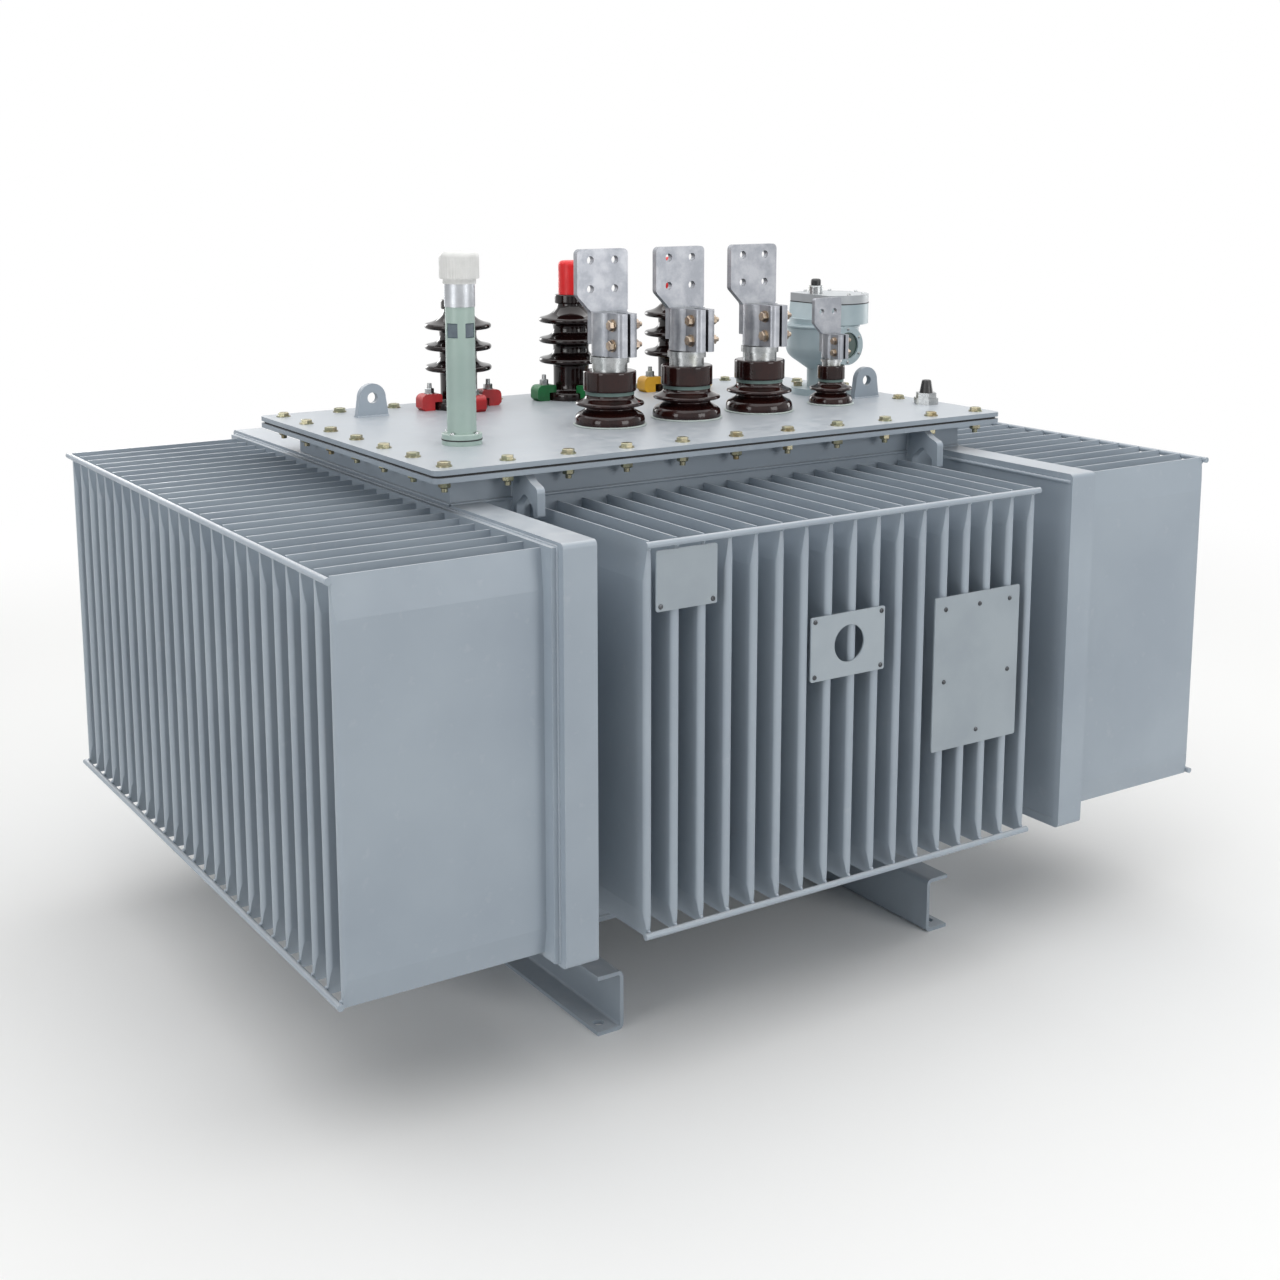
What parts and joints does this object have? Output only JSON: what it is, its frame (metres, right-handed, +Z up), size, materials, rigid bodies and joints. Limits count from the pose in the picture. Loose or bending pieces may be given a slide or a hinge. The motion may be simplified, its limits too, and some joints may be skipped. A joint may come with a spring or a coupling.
{
  "type": "oil-filled power transformer",
  "caption": "Oil-filled power transformer: corrugated finned tank on channel feet, bolted cover with porcelain bushings, clamp terminals, filler pipe and gas relay.",
  "frame": {"origin": "plan centre of the whole transformer at ground level", "axes": "+X along the length, -Y towards the low-voltage front, +Z up"},
  "size_m": [1.7324, 1.281, 1.226],
  "materials": {
    "tank_paint": "light blue-grey gloss paint",
    "gasket_rubber": "black sheet rubber",
    "seal_rubber": "grey-green moulded rubber",
    "brown_porcelain": "brown glaze",
    "dark_porcelain": "dark brown glaze",
    "bare_aluminium": "cast, lightly brushed",
    "zinc_steel": "zinc plated",
    "blank_plate": "painted sheet, bare of words",
    "bracket_plate": "light blue-grey gloss paint",
    "pale_green_paint": "pale green enamel",
    "relay_paint": "pale blue-green enamel on a casting",
    "white_plastic": "white moulded",
    "black_plastic": "black moulded",
    "red_plastic": "red moulded",
    "red_paint": "red phase colour",
    "green_paint": "green phase colour",
    "yellow_paint": "yellow phase colour",
    "sight_glass": "clear, dark oil behind"
  },
  "bodies": {
    "root": {"back_fins": "tank_paint", "back_lifting_hooks": "tank_paint", "back_wall": "tank_paint", "base_channel_left": "tank_paint", "base_channel_right": "tank_paint", "bushing_collars": "brown_porcelain", "bushing_seals": "seal_rubber", "bushing_studs": "zinc_steel", "cover_gasket": "gasket_rubber", "cover_plate": "tank_paint", "filler_base": "pale_green_paint", "filler_cap": "white_plastic", "filler_sleeve": "bare_aluminium", "filler_tube": "pale_green_paint", "front_fins": "tank_paint", "front_lifting_hooks": "tank_paint", "front_wall": "tank_paint", "gauge_plate": "bracket_plate", "hv_a_clamps": "red_paint", "hv_a_insulator": "dark_porcelain", "hv_b_clamps": "green_paint", "hv_b_insulator": "dark_porcelain", "hv_c_clamps": "yellow_paint", "hv_c_insulator": "dark_porcelain", "hv_caps": "red_plastic", "hv_collars": "dark_porcelain", "large_plate": "blank_plate", "left_end_panel": "tank_paint", "left_fins": "tank_paint", "left_header_box": "tank_paint", "lifting_lug_left": "tank_paint", "lifting_lug_right": "tank_paint", "lv_a_insulator": "brown_porcelain", "lv_a_terminal": "bare_aluminium", "lv_b_insulator": "brown_porcelain", "lv_b_terminal": "bare_aluminium", "lv_c_insulator": "brown_porcelain", "lv_c_terminal": "bare_aluminium", "neutral_insulator": "brown_porcelain", "neutral_terminal": "bare_aluminium", "pocket_base": "zinc_steel", "pocket_cap": "black_plastic", "relay_body": "relay_paint", "relay_cock": "zinc_steel", "relay_cock_tip": "black_plastic", "relay_glass": "sight_glass", "relay_head": "relay_paint", "relay_lid": "relay_paint", "right_end_panel": "tank_paint", "right_fins": "tank_paint", "right_header_box": "tank_paint", "small_plate": "blank_plate", "tank_flange": "tank_paint", "tank_floor": "tank_paint", "tank_neck": "tank_paint", "tank_skirt": "tank_paint"}
  },
  "joints": []
}
